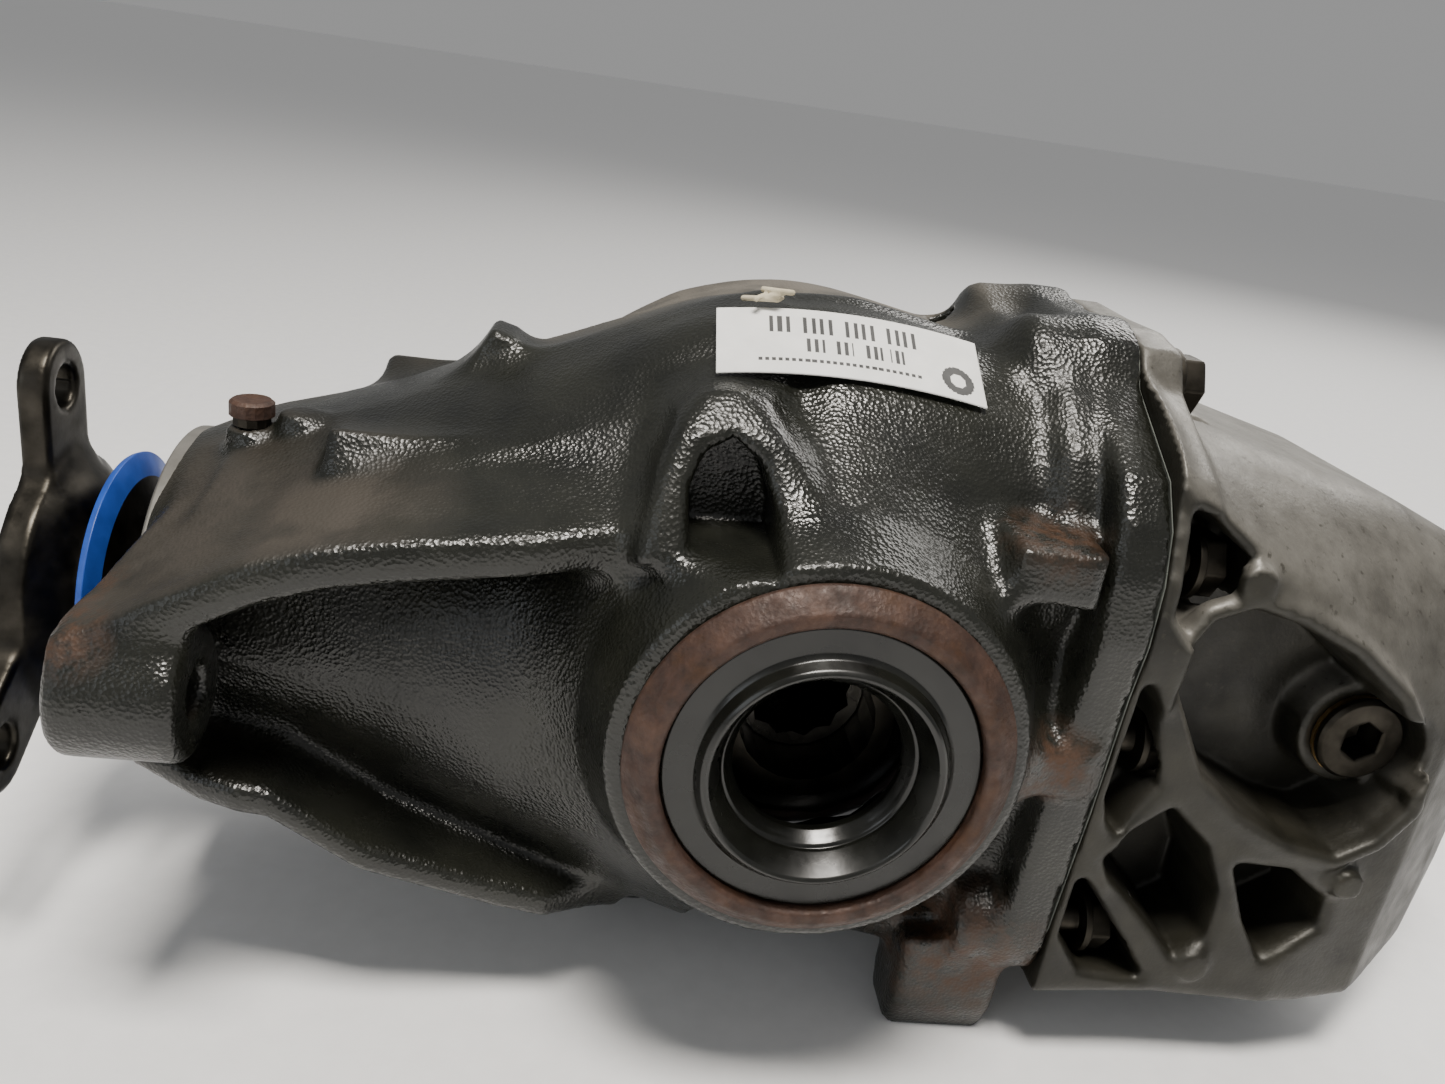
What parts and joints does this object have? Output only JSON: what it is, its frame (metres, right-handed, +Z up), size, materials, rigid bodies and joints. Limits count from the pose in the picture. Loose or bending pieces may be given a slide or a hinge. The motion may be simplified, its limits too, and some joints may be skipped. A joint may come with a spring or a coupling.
{
  "type": "differential gear assembly",
  "caption": "Rear axle differential: hypoid pinion and ring gear, bevel differential, iron housing with wings and ribbed aluminium cover.",
  "frame": {"origin": "on the standing surface, under the middle of the whole assembly; the output axle is 108 mm above it and 9 mm towards the input flange", "axes": "+X towards the rear cover, along the pinion, longest; +Y along the output axle towards the right output, on the ring gear side; +Z up"},
  "size_m": [0.454, 0.2124, 0.2056],
  "materials": {
    "cast_iron_black": "oily black paint over a granular casting, dust on top, rust at edges",
    "cast_aluminium": "weathered die casting, warm grey on top, oily dark sides",
    "gasket_fibre": "oil-soaked fibre gasket",
    "zinc_steel_dirty": "dull zinc plate under road film",
    "rusty_steel": "purple-brown to orange rust",
    "bright_steel": "machined, lightly oiled",
    "bearing_steel": "ground and polished",
    "dark_steel": "dark grey, oily",
    "seal_rubber": "black, oily, with a wet lower lip",
    "bronze": "dull bronze",
    "blue_plastic": "mid blue",
    "white_paper": null,
    "cotton_string": "undyed cotton"
  },
  "bodies": {
    "root": {"housing": "cast_iron_black", "rear_cover": "cast_aluminium", "cover_gasket": "gasket_fibre", "cover_bolt_1": "zinc_steel_dirty", "cover_bolt_2": "zinc_steel_dirty", "cover_bolt_3": "zinc_steel_dirty", "cover_bolt_4": "zinc_steel_dirty", "cover_bolt_5": "zinc_steel_dirty", "cover_bolt_6": "zinc_steel_dirty", "cover_bolt_7": "zinc_steel_dirty", "cover_bolt_8": "zinc_steel_dirty", "dowel_1": "bright_steel", "dowel_2": "bright_steel", "fill_plug": "zinc_steel_dirty", "fill_plug_washer": "bronze", "vent_stem": "zinc_steel_dirty", "vent_cap": "rusty_steel", "pinion_shim": "bearing_steel", "head_bearing_cup": "bearing_steel", "tail_bearing_cup": "bearing_steel", "pinion_seal": "seal_rubber", "paper_label": "white_paper", "label_tie": "cotton_string", "bearing_retainer_left": "rusty_steel", "shaft_seal_left": "seal_rubber", "side_bearing_shim_left": "bearing_steel", "side_bearing_cup_left": "bearing_steel", "bearing_retainer_right": "rusty_steel", "shaft_seal_right": "seal_rubber", "side_bearing_shim_right": "bearing_steel", "side_bearing_cup_right": "bearing_steel"},
    "carrier": {"carrier": "dark_steel", "ring_gear": "bright_steel", "cross_pin": "bright_steel", "lock_pin": "bright_steel", "spider_washer_rear": "bronze", "spider_washer_front": "bronze", "side_bearing_cone_left": "bearing_steel", "side_gear_washer_left": "bronze", "side_bearing_cone_right": "bearing_steel", "side_gear_washer_right": "bronze"},
    "pinion": {"pinion_shaft": "bright_steel", "head_bearing_cone": "bearing_steel", "tail_bearing_cone": "bearing_steel", "crush_sleeve": "dark_steel", "input_flange": "dark_steel", "dust_shield": "blue_plastic", "collar_nut": "zinc_steel_dirty"},
    "side_gear_left": {"side_gear_left": "bright_steel"},
    "side_gear_right": {"side_gear_right": "bright_steel"},
    "spider_gear_rear": {"spider_gear_rear": "bright_steel"},
    "spider_gear_front": {"spider_gear_front": "bright_steel"},
    "side_rollers_left": {"side_bearing_rollers_left": "bearing_steel"},
    "side_rollers_right": {"side_bearing_rollers_right": "bearing_steel"},
    "head_rollers": {"head_bearing_rollers": "bearing_steel"},
    "tail_rollers": {"tail_bearing_rollers": "bearing_steel"}
  },
  "joints": [
    {"name": "carrier_spin", "type": "hinge", "parent": "root", "child": "carrier", "pos_m": [-0.009, 0, 0.108], "axis": [0, 1, 0], "continuous": true},
    {"name": "pinion_spin", "type": "hinge", "parent": "root", "child": "pinion", "pos_m": [-0.009, 0, 0.092], "axis": [1, 0, 0], "continuous": true},
    {"name": "side_gear_left_spin", "type": "hinge", "parent": "carrier", "child": "side_gear_left", "pos_m": [-0.009, 0, 0.108], "axis": [0, 1, 0], "continuous": true},
    {"name": "side_gear_right_spin", "type": "hinge", "parent": "carrier", "child": "side_gear_right", "pos_m": [-0.009, 0, 0.108], "axis": [0, 1, 0], "continuous": true},
    {"name": "spider_gear_rear_spin", "type": "hinge", "parent": "carrier", "child": "spider_gear_rear", "pos_m": [-0.009, 0, 0.108], "axis": [1, 0, 0], "continuous": true},
    {"name": "spider_gear_front_spin", "type": "hinge", "parent": "carrier", "child": "spider_gear_front", "pos_m": [-0.009, 0, 0.108], "axis": [1, 0, 0], "continuous": true},
    {"name": "side_rollers_left_orbit", "type": "hinge", "parent": "root", "child": "side_rollers_left", "pos_m": [-0.009, 0, 0.108], "axis": [0, 1, 0], "continuous": true},
    {"name": "side_rollers_right_orbit", "type": "hinge", "parent": "root", "child": "side_rollers_right", "pos_m": [-0.009, 0, 0.108], "axis": [0, 1, 0], "continuous": true},
    {"name": "head_rollers_orbit", "type": "hinge", "parent": "root", "child": "head_rollers", "pos_m": [-0.009, 0, 0.092], "axis": [1, 0, 0], "continuous": true},
    {"name": "tail_rollers_orbit", "type": "hinge", "parent": "root", "child": "tail_rollers", "pos_m": [-0.009, 0, 0.092], "axis": [1, 0, 0], "continuous": true}
  ],
  "couplings": [
    {"joint": "pinion_spin", "follows": "carrier_spin", "ratio": 3.1538},
    {"joint": "side_gear_right_spin", "follows": "side_gear_left_spin", "ratio": -1},
    {"joint": "spider_gear_rear_spin", "follows": "side_gear_left_spin", "ratio": 1.6},
    {"joint": "spider_gear_front_spin", "follows": "side_gear_left_spin", "ratio": -1.6},
    {"joint": "side_rollers_left_orbit", "follows": "carrier_spin", "ratio": 0.45259},
    {"joint": "side_rollers_right_orbit", "follows": "carrier_spin", "ratio": 0.45259},
    {"joint": "head_rollers_orbit", "follows": "carrier_spin", "ratio": 1.4046},
    {"joint": "tail_rollers_orbit", "follows": "carrier_spin", "ratio": 1.3968}
  ]
}
